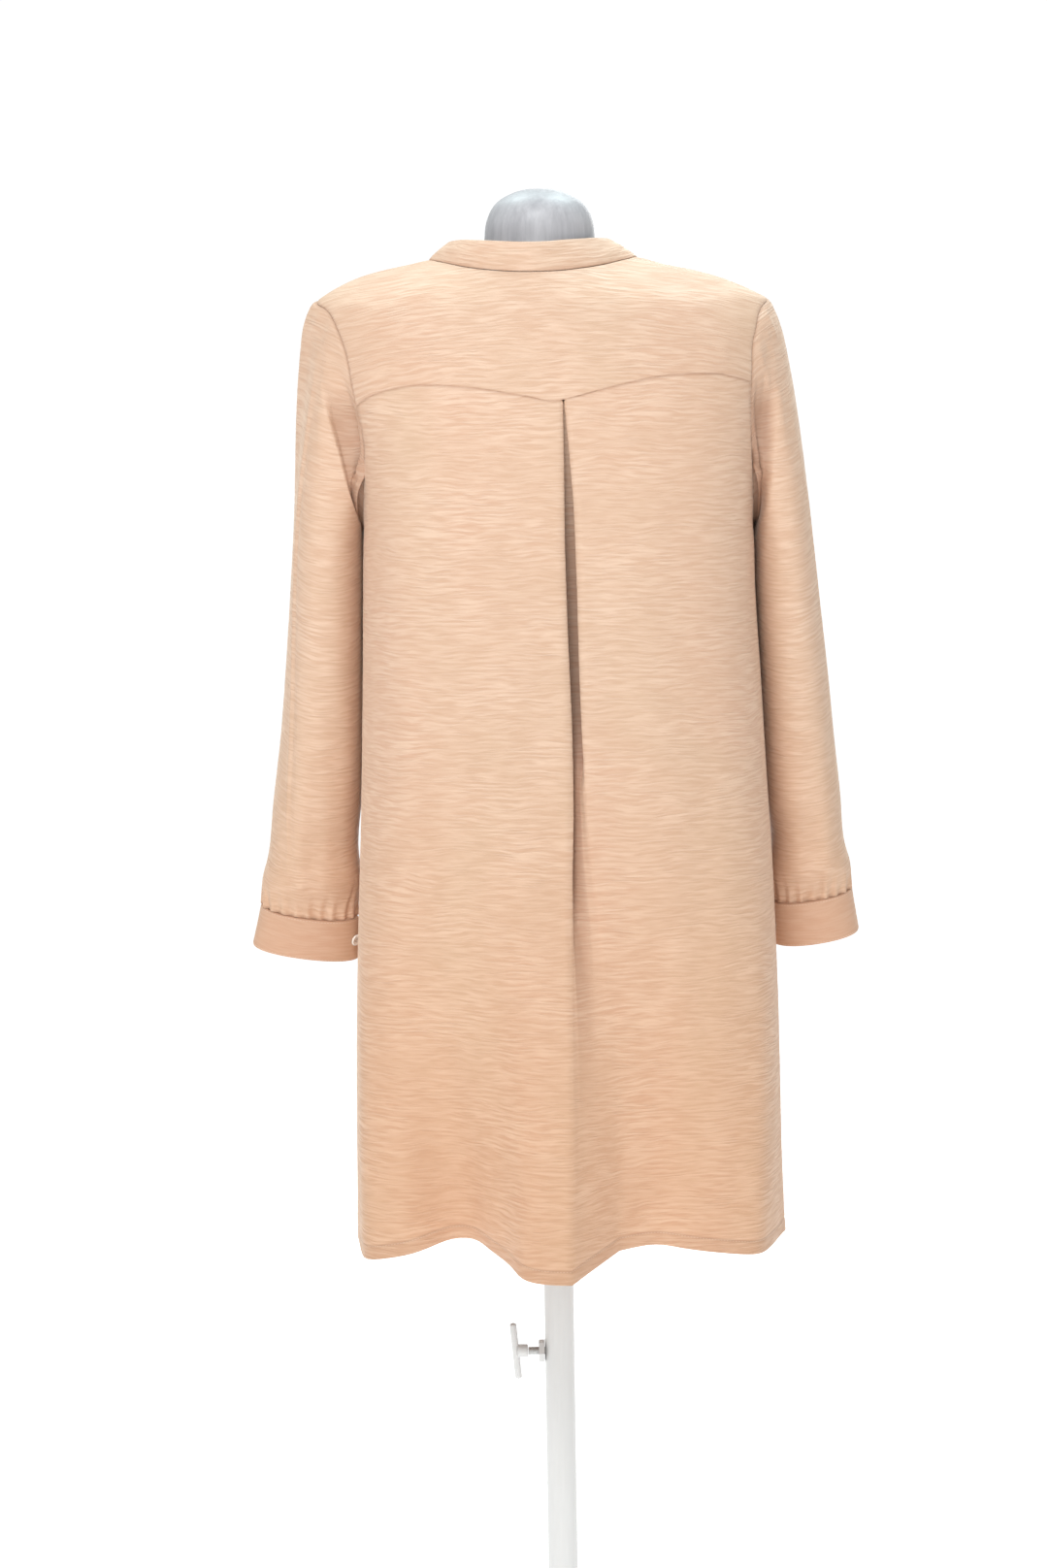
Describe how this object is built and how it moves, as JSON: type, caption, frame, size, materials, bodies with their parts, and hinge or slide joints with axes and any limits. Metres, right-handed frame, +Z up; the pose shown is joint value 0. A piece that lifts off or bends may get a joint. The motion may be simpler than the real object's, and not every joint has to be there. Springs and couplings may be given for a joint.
{
  "type": "tunic blouse on dress form",
  "caption": "Long-sleeved tunic blouse with a back yoke and a box pleat, worn by a limbless dress form on a height-adjustable pole stand.",
  "frame": {"origin": "centre of the base plate's underside, on the pole's axis", "axes": "+Z up the pole, +X to the wearer's left, the blouse's front faces -Y and its back +Y"},
  "size_m": [0.5719, 0.3136, 1.5112],
  "materials": {
    "crepe": "soft matte crinkle crepe",
    "button": "polished",
    "form_cover": "smooth satin cover",
    "painted_steel": "semi-gloss paint",
    "bare_steel": "brushed",
    "handle": "smooth"
  },
  "bodies": {
    "stand": {"base_plate": "painted_steel", "base_hub": "painted_steel", "outer_tube": "painted_steel", "clamp_nut": "painted_steel"},
    "riser": {"inner_tube": "bare_steel"},
    "form": {"form_torso": "form_cover", "back_yoke": "crepe", "back_panel": "crepe", "front_panel": "crepe", "collar": "crepe", "sleeve_left": "crepe", "sleeve_right": "crepe", "cuff_left": "crepe", "cuff_right": "crepe", "cuff_button_left": "button", "cuff_button_right": "button"},
    "screw": {"clamp_screw": "bare_steel"},
    "handle": {"clamp_handle": "handle"}
  },
  "joints": [
    {"name": "riser_slide", "type": "slide", "parent": "stand", "child": "riser", "axis": [0, 0, 1], "range_m": [-0.1, 0.15]},
    {"name": "form_turn", "type": "hinge", "parent": "riser", "child": "form", "pos_m": [0, 0, 0.885], "axis": [0, 0, 1], "continuous": true},
    {"name": "screw_travel", "type": "slide", "parent": "stand", "child": "screw", "axis": [1, 0, 0], "range_m": [0, 0.0026]},
    {"name": "handle_turn", "type": "hinge", "parent": "screw", "child": "handle", "pos_m": [0.035, 0, 0.4317], "axis": [1, 0, 0], "range_deg": [0, 720]}
  ],
  "couplings": [
    {"joint": "screw_travel", "follows": "handle_turn", "m_per_rad": 0.000199}
  ]
}
